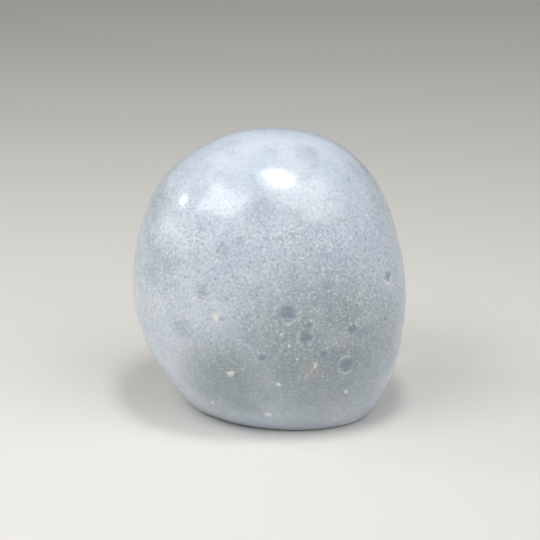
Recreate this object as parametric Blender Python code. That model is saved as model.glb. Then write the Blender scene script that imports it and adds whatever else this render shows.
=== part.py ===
"""A polished blue calcite freeform: one palm-sized stone that stands on a small ground flat.

The stone is measured outwards from a centre. Along a direction, its surface lies where an egg
with three half axes lies, a little fuller between the axes, plus the rise or fall of a few broad
swells that the grinding left. The flat spot under it is a plane cut. Lengths are in millimetres
until the last step, +Z is up, the front faces -Y, and the origin is the middle of the box's foot.
"""

import bmesh
import bpy
import numpy as np

MM = 0.001

# The egg, from its centre to its sides, its front and back, and its top
HALF_WIDTH = 40.7
HALF_DEPTH = 31.8
HALF_HEIGHT = 46.2
CENTRE = np.array([0.0, 0.0, 39.6])
# How much further the surface stands out between the egg's axes than on them
FULLNESS = 0.09

# Broad swells (+) and flats (-): azimuth from the front towards the right, elevation upwards,
# rise in millimetres, and the spread of the swell in degrees
SWELLS = {
    "left_foot": (-82, -40, -3.1, 19),
    "front_foot": (-49, -55, -1.1, 14),
    "left_toe": (-88, -61, 1.5, 10),
    "right_foot": (73, -57, 4.4, 17),
    "right_shoulder": (77, 31, -2.7, 18),
    "left_shoulder": (-95, 56, -1.3, 20),
    "left_cheek": (-85, 24, -1.2, 12),
    "back": (170, 12, -1.6, 30),
    "back_cheek": (-140, -8, 1.2, 24),
    "back_foot": (165, -48, 2.0, 20),
}

# The faceted surface: upright strips round the stone, and rows from its top to the flat spot
STRIPS = 72
ROWS = 36
# The eased edge of the flat spot
EASE = 0.9
EASE_STEPS = 2
# The rim of the flat spot is looked for by halving the angle between this elevation and level
LOWEST_LIFT = -89
RIM_HALVINGS = 30
# Share of the way from the top to the rim past which a point counts as on the rim
RIM_SHARE = 0.999
# Edges that turn more than this stay crisp, in degrees
CRISP_ANGLE = 30

STONE_BLUE = (0.50, 0.60, 0.72, 1.0)
STONE_ROUGHNESS = 0.2
CALCITE_IOR = 1.6


def clear_scene():
    """Removes every object that the file opened with."""
    for thing in list(bpy.data.objects):
        bpy.data.objects.remove(thing, do_unlink=True)


def direction(azimuth, elevation):
    """The unit vector for an azimuth and an elevation in degrees."""
    turn = np.radians(azimuth)
    lift = np.radians(elevation)
    return np.array([np.sin(turn) * np.cos(lift), -np.cos(turn) * np.cos(lift), np.sin(lift)])


def reach(units):
    """Distance from the centre to the surface along each unit vector, in millimetres."""
    egg = 1 / np.linalg.norm(units / [HALF_WIDTH, HALF_DEPTH, HALF_HEIGHT], axis=-1)
    distance = egg * (1 + FULLNESS * (1 - (units**4).sum(axis=-1)))
    for azimuth, elevation, rise, spread in SWELLS.values():
        nearness = units @ direction(azimuth, elevation)
        distance += rise * np.exp((nearness - 1) / np.radians(spread) ** 2)
    return distance


def unit_vectors(turn, lift):
    """Unit vectors for arrays of azimuths and elevations in radians."""
    return np.stack([np.sin(turn) * np.cos(lift), -np.cos(turn) * np.cos(lift), np.sin(lift)], -1)


def rim_lift(turn):
    """The elevation, seen from the centre, at which the surface meets the plane of the flat spot."""
    low = np.full_like(turn, np.radians(LOWEST_LIFT))
    high = np.zeros_like(turn)
    for _ in range(RIM_HALVINGS):
        middle = (low + high) / 2
        units = unit_vectors(turn, middle)
        under = CENTRE[2] + reach(units) * units[:, 2] < 0
        low = np.where(under, middle, low)
        high = np.where(under, high, middle)
    return high


def stone_points(units):
    """Moves a unit sphere's rows to the stone: the lowest row lies on the rim of the flat spot."""
    turn = np.arctan2(units[:, 0], -units[:, 1])
    from_top = np.arccos(np.clip(units[:, 2], -1, 1))
    share = from_top / (np.pi * ROWS / (ROWS + 1))
    top = np.pi / 2
    lift = top - share * (top - rim_lift(turn))
    outward = unit_vectors(turn, lift)
    points = CENTRE + outward * reach(outward)[:, None]
    points[share > RIM_SHARE, 2] = 0
    return points


def stone_mesh():
    """A sphere of strips and rows moved out to the surface, closed by the flat spot."""
    bm = bmesh.new()
    bmesh.ops.create_uvsphere(bm, u_segments=STRIPS, v_segments=ROWS + 1, radius=1.0)
    lowest = min(bm.verts, key=lambda corner: corner.co.z)
    bmesh.ops.delete(bm, geom=[lowest], context="VERTS")
    units = np.array([corner.co.normalized() for corner in bm.verts])
    for corner, point in zip(bm.verts, stone_points(units) * MM):
        corner.co = point
    rim = [edge for edge in bm.edges if edge.is_boundary]
    bmesh.ops.edgeloop_fill(bm, edges=rim)
    bmesh.ops.bevel(
        bm,
        geom=rim,
        offset=EASE * MM,
        segments=EASE_STEPS,
        profile=0.5,
        affect="EDGES",
    )
    bmesh.ops.recalc_face_normals(bm, faces=bm.faces)
    mesh = bpy.data.meshes.new("calcite_stone")
    bm.to_mesh(mesh)
    bm.free()
    mesh.shade_smooth()
    mesh.set_sharp_from_angle(angle=np.radians(CRISP_ANGLE))
    return mesh


def stone_material():
    """Polished blue calcite, in its middle colour."""
    material = bpy.data.materials.new("polished_blue_calcite")
    material.use_nodes = True
    shader = material.node_tree.nodes["Principled BSDF"]
    shader.inputs["Base Color"].default_value = STONE_BLUE
    shader.inputs["Roughness"].default_value = STONE_ROUGHNESS
    shader.inputs["Metallic"].default_value = 0.0
    shader.inputs["IOR"].default_value = CALCITE_IOR
    return material


def build():
    clear_scene()
    mesh = stone_mesh()
    mesh.materials.append(stone_material())
    stone = bpy.data.objects.new("calcite_stone", mesh)
    bpy.context.scene.collection.objects.link(stone)


build()
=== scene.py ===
"""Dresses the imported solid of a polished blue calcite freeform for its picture.

The stone is one closed surface of two parameters on each face of a cube blown up to a sphere.
Along each direction from its centre it stands where the solid stands, with the low waves that
hand grinding leaves and an eased edge round the ground flat. Lengths are in millimetres where a
name or comment says so and in metres everywhere else. +Z is up and the front faces -Y.
"""

import bpy
import numpy as np
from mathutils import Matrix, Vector


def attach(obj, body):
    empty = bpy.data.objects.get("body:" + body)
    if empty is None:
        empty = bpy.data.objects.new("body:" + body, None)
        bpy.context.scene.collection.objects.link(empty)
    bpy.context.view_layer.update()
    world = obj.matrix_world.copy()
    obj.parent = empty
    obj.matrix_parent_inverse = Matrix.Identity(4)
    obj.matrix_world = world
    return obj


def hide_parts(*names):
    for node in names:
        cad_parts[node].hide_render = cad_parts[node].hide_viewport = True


bl_info = {
    "name": "Blue calcite freeform",
    "version": (1, 0, 0),
    "blender": (4, 5, 0),
    "location": "View3D > Sidebar > Calcite",
    "description": "Builds a polished blue calcite freeform that stands on its ground flat",
    "category": "Add Mesh",
}

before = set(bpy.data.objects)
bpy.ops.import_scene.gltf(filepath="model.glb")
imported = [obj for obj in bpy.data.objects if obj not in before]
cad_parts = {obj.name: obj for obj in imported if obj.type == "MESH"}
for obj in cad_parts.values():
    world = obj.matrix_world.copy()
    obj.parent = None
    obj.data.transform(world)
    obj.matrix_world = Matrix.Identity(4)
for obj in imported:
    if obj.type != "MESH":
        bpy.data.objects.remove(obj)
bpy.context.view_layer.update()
STONE_NODE = "calcite_stone"
BODY = "root"

MM = 0.001

# Where the stone is measured from, and its broad swells (+) and flats (-), as in the solid:
# azimuth from the front towards the right, elevation upwards, rise in mm, spread in degrees
CENTRE = np.array([0.0, 0.0, 39.6])
SWELLS = {
    "left_foot": (-82, -40, -3.1, 19),
    "front_foot": (-49, -55, -1.1, 14),
    "left_toe": (-88, -61, 1.5, 10),
    "right_foot": (73, -57, 4.4, 17),
    "right_shoulder": (77, 31, -2.7, 18),
    "left_shoulder": (-95, 56, -1.3, 20),
    "left_cheek": (-85, 24, -1.2, 12),
    "back": (170, 12, -1.6, 30),
    "back_cheek": (-140, -8, 1.2, 24),
    "back_foot": (165, -48, 2.0, 20),
}

# Low waves left by hand grinding: wavelength and height in mm, and the seed of their directions
GRINDING_WAVES = ((26.0, 0.10, 3), (9.0, 0.015, 8))
WAVES_IN_A_FIELD = 24
# The higher, the tighter the eased edge of the ground flat
FLAT_TIGHTNESS = 170

CELLS = 128
# Share of a face's square in the UV map that is kept clear on each side
UV_MARGIN = 0.02

# The floor's half side in metres, and the camera's aim and the width of its sensor in mm
FLOOR_HALF_SIDE = 8.0
CAMERA_AIM = np.array([0.3, 0.0, 43.0])
SENSOR_WIDTH = 36.0

# Marks in the stone: azimuth, elevation and radius in mm, each where the stone shows it
CLEAR_GRAINS = (
    (9.0, 4.0, 2.6),
    (19.5, -2.5, 1.1),
    (18.0, -9.0, 1.8),
    (40.0, -6.5, 1.5),
    (27.0, -18.0, 1.2),
    (39.0, -23.5, 2.1),
    (-4.0, -20.0, 1.3),
    (63.0, 11.5, 1.6),
    (59.0, -6.0, 1.0),
)
BLUE_PATCHES = (
    (-17.0, 37.0, 2.2),
    (-24.5, 32.0, 2.6),
    (-5.0, 50.0, 5.0),
    (-42.0, -7.0, 4.0),
    (-32.0, 12.0, 2.2),
    (28.0, 16.5, 2.0),
    (-61.0, 13.0, 4.0),
    (-53.0, 24.0, 6.5),
    (45.0, 70.0, 4.5),
    (36.0, -20.0, 4.5),
)
WHITE_SPECKS = (
    (-26.0, 1.0, 1.3),
    (-20.0, -28.0, 1.2),
    (5.0, -33.5, 0.8),
    (23.5, -23.0, 0.9),
    (27.5, -29.0, 0.5),
    (-0.5, -52.0, 1.2),
    (-36.5, -47.0, 0.8),
    (10.5, -13.5, 0.6),
    (6.0, -8.0, 0.6),
    (14.0, -20.0, 0.5),
    (42.0, -36.5, 0.9),
    (-47.0, 36.0, 0.5),
)
SUGAR_CLUSTERS = (
    (10.0, 40.0, 4.2),
    (-37.5, 32.0, 3.8),
    (29.5, 34.0, 3.4),
    (-53.0, 3.0, 4.0),
    (16.5, 30.0, 2.4),
    (-27.0, 29.0, 2.4),
)
PINK_PATCHES = (
    (36.0, -12.5, 2.2),
    (36.5, -42.0, 3.0),
    (22.5, -26.0, 4.0),
)
# The middles of the grey-green cast low on the front, and how far it reaches from each
# The cast is partly the stone's own colour and partly painted shade, darker towards the base
GREEN_CAST_AND_SHADE = ((28.0, -19.0, 28.0), (-20.0, -34.0, 16.5))

# The lamps: azimuth and elevation from the stone in degrees, distance, width and height in metres,
# power in watts and colour
LAMPS = {
    "overhead_box": (17, 76, 0.45, 0.075, 0.13, 0.57, "#FFFFFF"),
    "left_box": (-50, 50.5, 0.50, 0.32, 0.18, 0.85, "#FFFCF6"),
    "left_lamp": (-98, 34, 0.60, 0.055, 0.055, 0.26, "#FFFFFF"),
    "right_box": (52, 47, 1.10, 1.00, 0.90, 4.6, "#FFFFFF"),
    "left_fill": (-85, 10, 0.50, 0.40, 0.14, 0.24, "#FFFFFF"),
}


def linear(colour):
    """An sRGB hex colour as linear red, green, blue and a full alpha."""
    values = [int(colour[i : i + 2], 16) / 255 for i in (1, 3, 5)]
    return [v / 12.92 if v <= 0.04045 else ((v + 0.055) / 1.055) ** 2.4 for v in values] + [1.0]


def colour_setting(name, description, default):
    """A colour that a user may change, from its sRGB hex value."""
    return bpy.props.FloatVectorProperty(
        name=name,
        description=description,
        subtype="COLOR",
        size=4,
        min=0.0,
        max=1.0,
        default=linear(default),
    )


def length_setting(name, description, default):
    """A length in metres that a user may change, from its default in millimetres."""
    return bpy.props.FloatProperty(
        name=name, description=description, default=default * MM, unit="LENGTH", min=0.0
    )


class CalciteForm(bpy.types.PropertyGroup):
    """The sizes of the egg that the stone is close to."""

    half_width: length_setting("Half width", "From the centre to the right side", 40.7)
    half_depth: length_setting("Half depth", "From the centre to the front", 31.8)
    half_height: length_setting("Half height", "From the centre to the top", 46.2)
    fullness: bpy.props.FloatProperty(
        name="Fullness",
        description="How much further the surface stands out between the egg's axes than on them",
        default=0.09,
        subtype="FACTOR",
    )


class CalciteFinish(bpy.types.PropertyGroup):
    """The colours and the polish of the calcite."""

    pale: colour_setting("Pale blue", "The milky part of the stone", "#D7E0EC")
    deep: colour_setting("Deep blue", "The clearer, bluer part of the stone", "#CAD6E6")
    # Also the paint of the painted shade low on the front
    green: colour_setting("Grey green", "The greyer cast low on the front", "#9CA8AE")
    clear: colour_setting("Clear grain", "Grains that are clear and look dark", "#7A8CA3")
    white: colour_setting("White", "Chalky specks and sugary grains", "#F4F5F2")
    pink: colour_setting("Pink", "Faint warm patches", "#BBB0B4")
    grain: length_setting("Grain", "Size of the sugary grain", 0.8)
    cloud: length_setting("Cloud", "Size of the paler and deeper clouds", 16.0)
    roughness: bpy.props.FloatProperty(
        name="Roughness",
        description="Of the polish",
        default=0.18,
        min=0.0,
        max=1.0,
        subtype="FACTOR",
    )


class CalciteStage(bpy.types.PropertyGroup):
    """The floor, the light and the camera."""

    floor: colour_setting("Floor", "The plain pale floor", "#ECEBE7")
    air: colour_setting("Surroundings", "The light from all round", "#FFFEFB")
    air_strength: bpy.props.FloatProperty(
        name="Surroundings' strength", description="Radiance from all round", default=0.205
    )
    distance: length_setting("Camera distance", "From the camera to its aim", 499.0)
    lens: bpy.props.FloatProperty(
        name="Lens", description="Focal length", default=113.0, subtype="DISTANCE_CAMERA"
    )
    elevation: bpy.props.FloatProperty(
        name="Camera elevation",
        description="How far the camera looks down",
        default=np.radians(20),
        subtype="ANGLE",
    )


def direction(azimuth, elevation):
    """The unit vector for an azimuth and an elevation in degrees."""
    turn = np.radians(azimuth)
    lift = np.radians(elevation)
    return np.array([np.sin(turn) * np.cos(lift), -np.cos(turn) * np.cos(lift), np.sin(lift)])


def waves(points, wavelength, seed):
    """A smooth random field of unit strength: the sum of plane waves of about one wavelength,
    each with a seeded direction and phase, over the root of half their number."""
    random = np.random.default_rng(seed)
    ways = random.normal(size=(WAVES_IN_A_FIELD, 3))
    ways /= np.linalg.norm(ways, axis=1, keepdims=True)
    lengths = wavelength * random.uniform(0.8, 1.25, WAVES_IN_A_FIELD)
    phases = random.uniform(0, 2 * np.pi, WAVES_IN_A_FIELD)
    turns = points @ (ways * (2 * np.pi / lengths[:, None])).T + phases
    return np.sin(turns).sum(axis=1) / np.sqrt(WAVES_IN_A_FIELD / 2)


def reach(units, form):
    """Distance in mm from the centre to the surface along each unit vector: the egg, fuller
    between its axes by the share 1 - (x^4 + y^4 + z^4), plus each swell, which fades with the
    angle from its middle as exp((cosine - 1) / spread^2)."""
    axes = np.array([form.half_width, form.half_depth, form.half_height]) / MM
    egg = 1 / np.linalg.norm(units / axes, axis=-1)
    distance = egg * (1 + form.fullness * (1 - (units**4).sum(axis=-1)))
    for azimuth, elevation, rise, spread in SWELLS.values():
        nearness = units @ direction(azimuth, elevation)
        distance += rise * np.exp((nearness - 1) / np.radians(spread) ** 2)
    return distance


def stone_points(units, form):
    """Points of the finished surface in metres. The grinding waves are added to the reach, and
    the reach is joined to the plane of the flat by the sum of their inverse high powers, which
    follows the nearer of the two and eases the edge between them."""
    distance = reach(units, form)
    for wavelength, height, seed in GRINDING_WAVES:
        distance += height * waves(units * distance[:, None], wavelength, seed)
    down = np.maximum(-units[:, 2], 1e-6)
    share = distance * down / CENTRE[2]
    distance /= (1 + share**FLAT_TIGHTNESS) ** (1 / FLAT_TIGHTNESS)
    return (CENTRE + units * distance[:, None]) * MM


def cube_shell(cells):
    """The grid on a cube's six faces. Returns its points, each once, as whole numbers from 0 to
    cells, its quads facing out, and the place of each quad corner in the UV map, where the six
    faces are three by two squares."""
    steps = np.arange(cells + 1)
    first, second = np.meshgrid(steps, steps, indexing="ij")
    base = np.array([(cells + 1) ** 2, cells + 1, 1])
    keys = []
    for axis in range(3):
        for side in (0, cells):
            # The lower side swaps the other two axes, so that every face turns outwards
            others = [(axis + 1) % 3, (axis + 2) % 3][:: 1 if side else -1]
            patch = np.empty(first.shape + (3,), dtype=np.int64)
            patch[..., axis] = side
            patch[..., others[0]] = first
            patch[..., others[1]] = second
            keys.append(patch @ base)
    found, index = np.unique(np.stack(keys), return_inverse=True)
    grid = np.stack([found // base[0], found // base[1] % base[1], found % base[1]], axis=-1)

    def corners(of_faces):
        """Takes the four corners of every quad from arrays over the six faces."""
        around = (slice(None, -1), slice(None, -1)), (slice(1, None), slice(None, -1))
        around += (slice(1, None), slice(1, None)), (slice(None, -1), slice(1, None))
        return np.stack([of_faces[:, i, j] for i, j in around], axis=3)

    quads = corners(index.reshape(6, cells + 1, cells + 1)).reshape(-1, 4)
    square = UV_MARGIN + (1 - 2 * UV_MARGIN) * np.stack([first, second]) / cells
    faces = np.arange(6)[:, None, None]
    across = corners((faces % 3 + square[0]) / 3).ravel()
    up = corners((faces // 3 + square[1]) / 2).ravel()
    return grid, quads, np.stack([across, up], axis=-1)


def stone_mesh(form):
    """The surface on the grid of a cube shell: a grid number turns into an angle from -45 to 45
    degrees, its tangent into a place on the cube, and that into a direction."""
    cells = CELLS
    grid, quads, places = cube_shell(cells)
    on_cube = np.tan((grid / cells - 0.5) * np.pi / 2)
    units = on_cube / np.linalg.norm(on_cube, axis=1, keepdims=True)
    mesh = bpy.data.meshes.new("polished_stone")
    mesh.from_pydata(stone_points(units, form).tolist(), [], quads.tolist())
    uv_map = mesh.uv_layers.new(name="OFBake")
    uv_map.uv.foreach_set("vector", places.ravel())
    mesh.shade_smooth()
    return mesh


# A Mix node's sockets by number, because several of them bear the same name
MIX_SHARE = 0
MIX_A = 6
MIX_B = 7
MIX_RESULT = 2

# How far the outlines of the marks waver to each side, in mm
WAVER = 1.3
# Heights in mm from which the sugary grain grows to its full strength, up from the foot and down
# from the top, and the share of that strength outside this belt
BELT_FROM_FOOT = (12, 45)
BELT_FROM_TOP = (82, 62)
OUTSIDE_BELT = 0.4

# How much the roughness falls on the clear grains, and rises on the white ones
GLOSSIER = 0.04
DULLER = 0.06
# How far the white grains stand proud, in mm, and how much of that the light shows
GRAIN_RELIEF = 0.02
RELIEF_SHOWN = 0.3


def add(tree, kind, settings=None):
    """Adds a node. Settings hold its properties by name, and for its inputs, by name or number,
    a value or the socket that feeds it."""
    node = tree.nodes.new(kind)
    for name, value in (settings or {}).items():
        if isinstance(value, bpy.types.NodeSocket):
            tree.links.new(value, node.inputs[name])
        elif isinstance(name, str) and hasattr(node, name):
            setattr(node, name, value)
        else:
            node.inputs[name].default_value = value
    return node


def coat(tree, colour, paint, strength, *rises):
    """Lays a paint over a colour at a strength. Each rise is a field and two of its values: the
    paint is nowhere where the field is at the first, and whole where it is at the second."""
    for field, nowhere, whole in rises:
        rise = {"interpolation_type": "SMOOTHSTEP", "Value": field}
        rise.update({"From Min": nowhere, "From Max": whole, "To Max": strength})
        strength = add(tree, "ShaderNodeMapRange", rise).outputs[0]
    mixing = {"data_type": "RGBA", MIX_SHARE: strength, MIX_A: colour, MIX_B: paint}
    return add(tree, "ShaderNodeMix", mixing).outputs[MIX_RESULT]


def nearest_mark(tree, place, marks, form):
    """Distance to the nearest of the marks as a multiple of its radius."""
    nearest = None
    for azimuth, elevation, radius in marks:
        way = direction(azimuth, elevation)
        middle = (CENTRE + way * reach(way[None], form)[0]) * MM
        apart = {"operation": "DISTANCE", 0: place, 1: tuple(middle)}
        apart = add(tree, "ShaderNodeVectorMath", apart).outputs["Value"]
        multiple = {"operation": "DIVIDE", 0: apart, 1: radius * MM}
        multiple = add(tree, "ShaderNodeMath", multiple).outputs[0]
        if nearest:
            nearer = {"operation": "MINIMUM", 0: nearest, 1: multiple}
            multiple = add(tree, "ShaderNodeMath", nearer).outputs[0]
        nearest = multiple
    return nearest


def calcite_fields(tree, place, finish):
    """Random fields from 0 to 1, each from the size of its lumps in metres, its detail, its
    roughness and its distortion."""
    lumps = {
        "waver": (1.8 * MM, 3, 0.7, 0.0),
        "cloud": (finish.cloud, 5, 0.6, 0.4),
        "cast": (20 * MM, 4, 0.6, 0.0),
        "mottle": (4.5 * MM, 4, 0.65, 0.0),
        "sugar": (finish.grain, 3, 0.75, 0.0),
    }
    fields = {}
    for name, (size, detail, roughness, distortion) in lumps.items():
        settings = {"Vector": place, "Scale": 1 / size, "Detail": detail}
        settings.update({"Roughness": roughness, "Distortion": distortion})
        fields[name] = add(tree, "ShaderNodeTexNoise", settings)
    return fields


def calcite_colour(tree, place, fields, form, finish):
    """The stone's colour with some painted shade, laid on from the broadest clouds to the smallest
    specks.
    """
    cloud, cast, mottle, sugar = (
        fields[name].outputs["Fac"] for name in ("cloud", "cast", "mottle", "sugar")
    )

    # The small marks are sought from a place that wavers, so that none keeps a round outline
    shifted = {"operation": "SUBTRACT", 0: place, 1: (WAVER * MM,) * 3}
    shifted = add(tree, "ShaderNodeVectorMath", shifted).outputs[0]
    wavering = {"operation": "MULTIPLY_ADD", 0: fields["waver"].outputs["Color"]}
    wavering.update({1: (2 * WAVER * MM,) * 3, 2: shifted})
    wavering = add(tree, "ShaderNodeVectorMath", wavering).outputs[0]

    # Clouds of paler and deeper blue
    colour = coat(tree, finish.deep, finish.pale, 1.0, (cloud, 0.34, 0.66))

    # A grey-green cast, strongest low on the front and broken up by broad patches
    # Low on the front this cast is partly painted shade, which darkens the stone towards its base
    to_green_and_shade = nearest_mark(tree, place, GREEN_CAST_AND_SHADE, form)
    colour = coat(tree, colour, finish.green, 0.95, (to_green_and_shade, 1.35, 0.3), (cast, 0.05, 0.5))
    colour = coat(tree, colour, finish.green, 0.3, (cast, 0.5, 0.72))

    # Mottling of a few millimetres
    colour = coat(tree, colour, finish.white, 0.15, (mottle, 0.5, 0.7))
    colour = coat(tree, colour, finish.clear, 0.2, (mottle, 0.48, 0.3))

    # Blue patches and faint pink ones
    to_blue = nearest_mark(tree, wavering, BLUE_PATCHES, form)
    colour = coat(tree, colour, finish.clear, 0.3, (to_blue, 1.3, 0.2))
    to_pink = nearest_mark(tree, wavering, PINK_PATCHES, form)
    colour = coat(tree, colour, finish.pink, 0.4, (to_pink, 1.3, 0.2))

    # The sugary grain, as white and as clear points, strongest in a belt round the middle
    height = add(tree, "ShaderNodeSeparateXYZ", {"Vector": place}).outputs["Z"]
    for paint, whole, most in ((finish.white, 0.7, 0.65), (finish.clear, 0.3, 0.55)):
        strength = most
        for edge, inside in (BELT_FROM_FOOT, BELT_FROM_TOP):
            belt = {"interpolation_type": "SMOOTHSTEP", "Value": height}
            belt.update({"From Min": edge * MM, "From Max": inside * MM})
            belt.update({"To Min": OUTSIDE_BELT * most, "To Max": strength})
            strength = add(tree, "ShaderNodeMapRange", belt).outputs[0]
        colour = coat(tree, colour, paint, strength, (sugar, 0.5, whole))

    # Clusters of whiter sugar
    to_cluster = nearest_mark(tree, wavering, SUGAR_CLUSTERS, form)
    colour = coat(tree, colour, finish.white, 0.75, (to_cluster, 1.4, 0.1), (sugar, 0.5, 0.62))

    # Clear grains, which look dark, with broken pale rims
    to_grain = nearest_mark(tree, wavering, CLEAR_GRAINS, form)
    rim = (to_grain, 1.7, 1.3), (to_grain, 1.0, 1.25), (mottle, 0.4, 0.6)
    colour = coat(tree, colour, finish.white, 0.4, *rim)
    colour = coat(tree, colour, finish.clear, 0.65, (to_grain, 1.2, 0.4))

    # Chalky specks
    to_speck = nearest_mark(tree, wavering, WHITE_SPECKS, form)
    return coat(tree, colour, finish.white, 0.85, (to_speck, 1.2, 0.3))


def calcite_material(form, finish):
    """Blue calcite, ground and polished: a sugary mass of pale grains with clearer, bluer ones
    between. It is smooth enough for bright highlights, and cloudy enough for light to spread a
    few millimetres under its surface, so that its shading is soft."""
    material = bpy.data.materials.new("polished_blue_calcite")
    material.use_nodes = True
    tree = material.node_tree
    shader = tree.nodes["Principled BSDF"]
    place = add(tree, "ShaderNodeTexCoord").outputs["Object"]
    fields = calcite_fields(tree, place, finish)
    colour = calcite_colour(tree, place, fields, form, finish)

    # The white grains are a little duller than the clear ones, and stand a little proud of them
    sugar = fields["sugar"].outputs["Fac"]
    gloss = {"Value": sugar, "From Min": 0.3, "From Max": 0.7}
    gloss.update({"To Min": finish.roughness - GLOSSIER, "To Max": finish.roughness + DULLER})
    gloss = add(tree, "ShaderNodeMapRange", gloss).outputs[0]
    relief = {"Height": sugar, "Strength": RELIEF_SHOWN, "Distance": GRAIN_RELIEF * MM}
    relief = add(tree, "ShaderNodeBump", relief).outputs["Normal"]
    for name, socket in {"Base Color": colour, "Roughness": gloss, "Normal": relief}.items():
        tree.links.new(socket, shader.inputs[name])

    # Calcite splits light between indices of 1.49 and 1.66. Blue goes a little further in it
    shader.inputs["IOR"].default_value = 1.6
    shader.inputs["Subsurface Weight"].default_value = 0.3
    shader.inputs["Subsurface Radius"].default_value = (0.8, 0.95, 1.0)
    shader.inputs["Subsurface Scale"].default_value = 3 * MM
    return material


class CALCITE_OT_stone(bpy.types.Operator):
    """Builds the polished stone in the place of its plain solid"""

    bl_idname = "calcite.build_stone"
    bl_label = "Build the stone"

    def execute(self, context):
        form = context.scene.calcite_form
        stone = bpy.data.objects.new("polished_stone", stone_mesh(form))
        stone.data.materials.append(calcite_material(form, context.scene.calcite_finish))
        context.scene.collection.objects.link(stone)
        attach(stone, BODY)
        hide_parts(STONE_NODE)
        return {"FINISHED"}


def aim(thing, place, target):
    """Puts a lamp or the camera at a place, looking at a target."""
    thing.location = place
    thing.rotation_euler = (Vector(target) - Vector(place)).to_track_quat("-Z", "Y").to_euler()


class CALCITE_OT_stage(bpy.types.Operator):
    """Lays the floor, hangs the lamps and sets the camera"""

    bl_idname = "calcite.build_stage"
    bl_label = "Build the stage"

    def execute(self, context):
        scene = context.scene
        stage = scene.calcite_stage
        self.lay_floor(scene, stage)
        for name, lamp in LAMPS.items():
            self.hang_lamp(scene, name, *lamp)
        self.light_air(scene, stage)
        self.set_camera(scene, stage)
        scene.view_settings.view_transform = "Standard"
        return {"FINISHED"}

    def lay_floor(self, scene, stage):
        """A wide flat sheet of matt paper under the stone, which scatters light evenly and shows
        no highlight."""
        mesh = bpy.data.meshes.new("pale_floor")
        signs = ((-1, -1, 0), (1, -1, 0), (1, 1, 0), (-1, 1, 0))
        corners = np.array(signs) * FLOOR_HALF_SIDE
        mesh.from_pydata(corners.tolist(), [], [(0, 1, 2, 3)])
        material = bpy.data.materials.new("matt_paper")
        material.use_nodes = True
        shader = material.node_tree.nodes["Principled BSDF"]
        shader.inputs["Base Color"].default_value = stage.floor
        shader.inputs["Roughness"].default_value = 0.9
        mesh.materials.append(material)
        floor = bpy.data.objects.new("pale_floor", mesh)
        scene.collection.objects.link(floor)

    def hang_lamp(self, scene, name, azimuth, elevation, distance, width, height, power, colour):
        """A rectangle of light that faces the middle of the stone."""
        lamp = bpy.data.lights.new(name, "AREA")
        lamp.shape = "RECTANGLE"
        lamp.size = width
        lamp.size_y = height
        lamp.energy = power
        lamp.color = linear(colour)[:3]
        thing = bpy.data.objects.new(name, lamp)
        middle = CENTRE * MM
        aim(thing, middle + direction(azimuth, elevation) * distance, middle)
        scene.collection.objects.link(thing)

    def light_air(self, scene, stage):
        """An even pale light from all round."""
        world = bpy.data.worlds.new("pale_air")
        world.use_nodes = True
        background = world.node_tree.nodes["Background"]
        background.inputs["Color"].default_value = stage.air
        background.inputs["Strength"].default_value = stage.air_strength
        scene.world = world

    def set_camera(self, scene, stage):
        """The camera in front of the stone, looking a little down."""
        camera = bpy.data.cameras.new("camera")
        camera.lens = stage.lens
        camera.sensor_width = SENSOR_WIDTH
        thing = bpy.data.objects.new("camera", camera)
        target = CAMERA_AIM * MM
        back = direction(0, np.degrees(stage.elevation))
        aim(thing, target + back * stage.distance, target)
        scene.collection.objects.link(thing)
        scene.camera = thing


class CALCITE_PT_panel(bpy.types.Panel):
    """Lists the settings and the steps"""

    bl_idname = "CALCITE_PT_panel"
    bl_label = "Calcite freeform"
    bl_space_type = "VIEW_3D"
    bl_region_type = "UI"
    bl_category = "Calcite"

    def draw(self, context):
        for name in ("calcite_form", "calcite_finish", "calcite_stage"):
            settings = getattr(context.scene, name)
            box = self.layout.box()
            for setting in settings.bl_rna.properties:
                if setting.identifier not in ("rna_type", "name"):
                    box.prop(settings, setting.identifier)
        self.layout.operator(CALCITE_OT_stone.bl_idname)
        self.layout.operator(CALCITE_OT_stage.bl_idname)


CLASSES = (
    CalciteForm,
    CalciteFinish,
    CalciteStage,
    CALCITE_OT_stone,
    CALCITE_OT_stage,
    CALCITE_PT_panel,
)


def register():
    for each in CLASSES:
        bpy.utils.register_class(each)
    bpy.types.Scene.calcite_form = bpy.props.PointerProperty(type=CalciteForm)
    bpy.types.Scene.calcite_finish = bpy.props.PointerProperty(type=CalciteFinish)
    bpy.types.Scene.calcite_stage = bpy.props.PointerProperty(type=CalciteStage)


def unregister():
    del bpy.types.Scene.calcite_stage
    del bpy.types.Scene.calcite_finish
    del bpy.types.Scene.calcite_form
    for each in reversed(CLASSES):
        bpy.utils.unregister_class(each)


def main():
    register()
    bpy.ops.calcite.build_stone()
    bpy.ops.calcite.build_stage()


if __name__ == "__main__":
    main()
